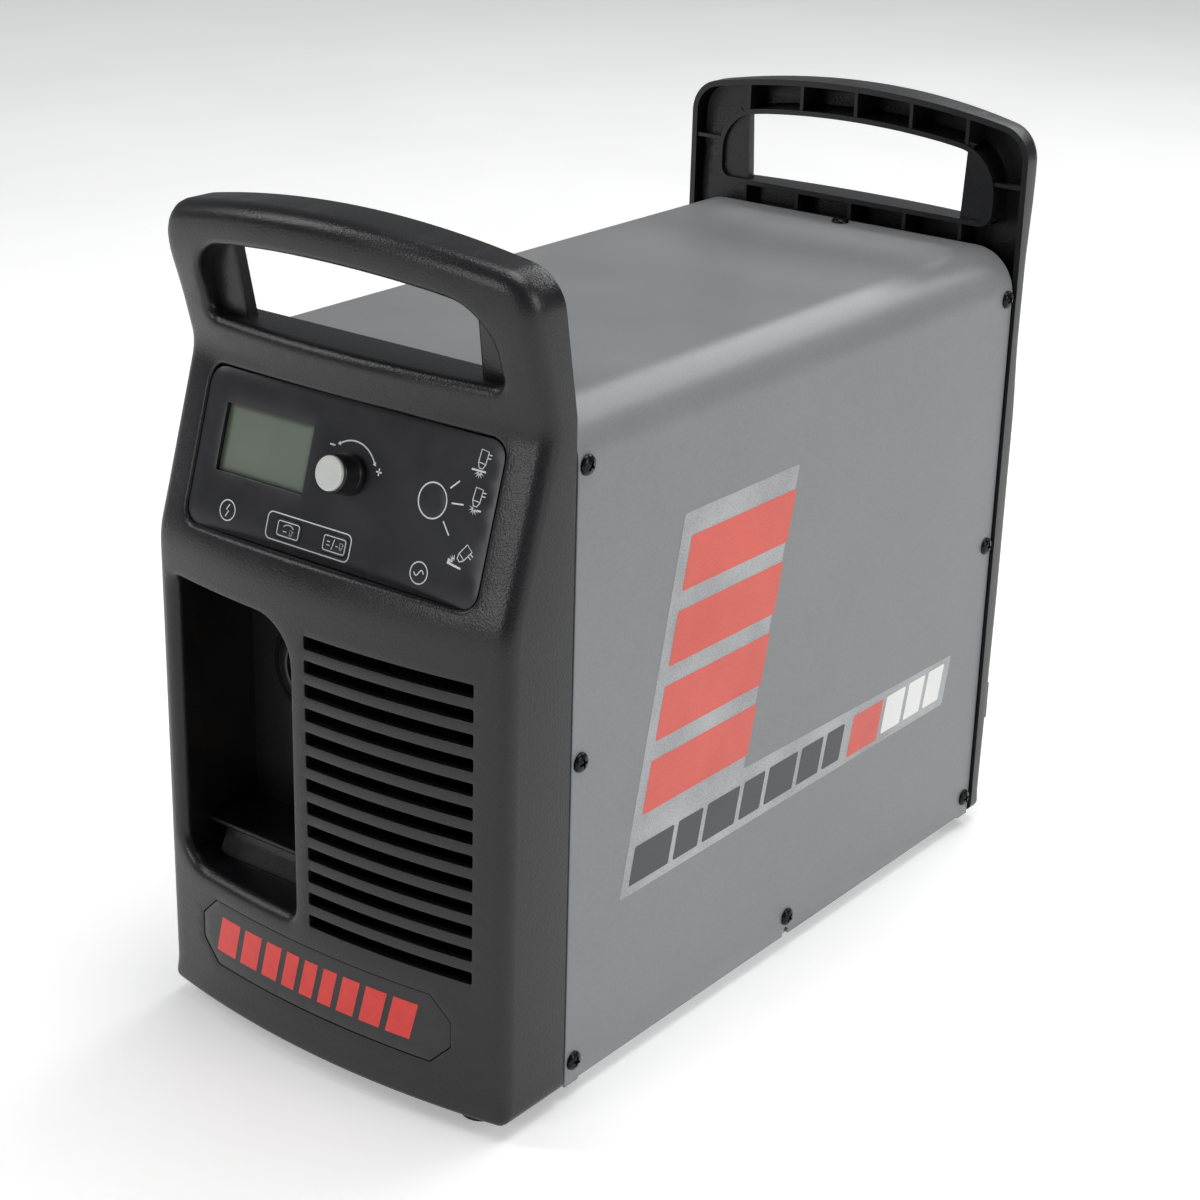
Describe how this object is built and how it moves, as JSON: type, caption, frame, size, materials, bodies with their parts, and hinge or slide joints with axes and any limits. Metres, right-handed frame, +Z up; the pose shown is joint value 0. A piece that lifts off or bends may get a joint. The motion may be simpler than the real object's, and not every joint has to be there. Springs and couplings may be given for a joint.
{
  "type": "plasma cutter unit",
  "caption": "Portable plasma cutting power supply: grey sheet cover between black moulded ends with carrying handles, sloped control panel, connector pocket and louvres.",
  "frame": {"origin": "on the floor, midway across the width and midway between the front face and the end of the cord gland", "axes": "+Z up, the control panel faces -Y, +X to the right seen from the front"},
  "size_m": [0.236, 0.511, 0.4475],
  "materials": {
    "black_plastic": "fine-grained moulded plastic",
    "grey_paint": "fine-textured grey powder coat",
    "galvanised_steel": "zinc-coated sheet",
    "foot_rubber": "moulded rubber",
    "brass": "turned brass",
    "panel_film": "printed polyester film",
    "display_glass": "reflective liquid crystal glass",
    "display_housing": "moulded display carrier",
    "cap_grey": "light grey cap",
    "aluminium": "machined and extruded aluminium",
    "circuit_board": "glass-epoxy board with parts",
    "switch_red": "red rotary handle",
    "clear_bowl": "clear polycarbonate bowl",
    "filter_media": "sintered filter element",
    "ferrite": "ferrite core",
    "copper_winding": "varnished copper winding",
    "black_screw": "black pan-head screw"
  },
  "bodies": {
    "cabinet": {"front_bezel": "black_plastic", "rear_bezel": "black_plastic", "front_badge": "black_plastic", "connector_tray": "black_plastic", "torch_receptacle": "black_plastic", "power_switch_body": "black_plastic", "interface_port_cover": "black_plastic", "serial_port_cover": "black_plastic", "cord_gland_body": "black_plastic", "cord_gland_nut": "black_plastic", "fan_frame": "black_plastic", "capacitor_front": "black_plastic", "capacitor_rear": "black_plastic", "enclosure_cover": "grey_paint", "base_pan": "galvanised_steel", "centre_panel": "galvanised_steel", "foot_front_left": "foot_rubber", "foot_front_right": "foot_rubber", "foot_rear_left": "foot_rubber", "foot_rear_right": "foot_rubber", "receptacle_core": "brass", "work_lead_socket": "brass", "air_inlet_fitting": "brass", "gas_valve": "brass", "control_overlay": "panel_film", "display_window": "display_glass", "display_module": "display_housing", "encoder_body": "aluminium", "filter_head": "aluminium", "heatsink": "aluminium", "control_board": "circuit_board", "power_board": "circuit_board", "filter_bowl": "clear_bowl", "filter_element": "filter_media", "transformer_core": "ferrite", "transformer_winding": "copper_winding", "output_inductor": "copper_winding", "cover_screw_left_front_low": "black_screw", "cover_screw_left_rear_low": "black_screw", "cover_screw_left_front_middle": "black_screw", "cover_screw_left_rear_middle": "black_screw", "cover_screw_left_front_high": "black_screw", "cover_screw_left_rear_high": "black_screw", "cover_screw_left_centre_low": "black_screw", "cover_screw_right_front_low": "black_screw", "cover_screw_right_rear_low": "black_screw", "cover_screw_right_front_middle": "black_screw", "cover_screw_right_rear_middle": "black_screw", "cover_screw_right_front_high": "black_screw", "cover_screw_right_rear_high": "black_screw", "cover_screw_right_centre_low": "black_screw", "cover_screw_top": "black_screw"},
    "knob": {"adjustment_knob": "black_plastic", "knob_cap": "cap_grey", "encoder_shaft": "aluminium"},
    "mode_key": {"mode_button": "panel_film"},
    "pressure_key": {"pressure_button": "panel_film"},
    "units_key": {"units_button": "panel_film"},
    "power_handle": {"power_switch_knob": "switch_red"},
    "fan": {"fan_rotor": "black_plastic"}
  },
  "joints": [
    {"name": "knob_turn", "type": "hinge", "parent": "cabinet", "child": "knob", "pos_m": [0.0055, -0.22929, 0.32205], "axis": [0, -0.9558, 0.294], "continuous": true},
    {"name": "mode_key_press", "type": "slide", "parent": "cabinet", "child": "mode_key", "axis": [0, 0.9558, -0.294], "range_m": [0, 0.0004], "stiffness_N_per_m": 800},
    {"name": "pressure_key_press", "type": "slide", "parent": "cabinet", "child": "pressure_key", "axis": [0, 0.9558, -0.294], "range_m": [0, 0.0004], "stiffness_N_per_m": 800},
    {"name": "units_key_press", "type": "slide", "parent": "cabinet", "child": "units_key", "axis": [0, 0.9558, -0.294], "range_m": [0, 0.0004], "stiffness_N_per_m": 800},
    {"name": "power_switch_turn", "type": "hinge", "parent": "cabinet", "child": "power_handle", "pos_m": [-0.077, 0.234, 0.3005], "axis": [0, -1, 0], "range_deg": [0, 90]},
    {"name": "fan_spin", "type": "hinge", "parent": "cabinet", "child": "fan", "pos_m": [0.044, 0.2012, 0.2625], "axis": [0, 1, 0], "continuous": true}
  ]
}
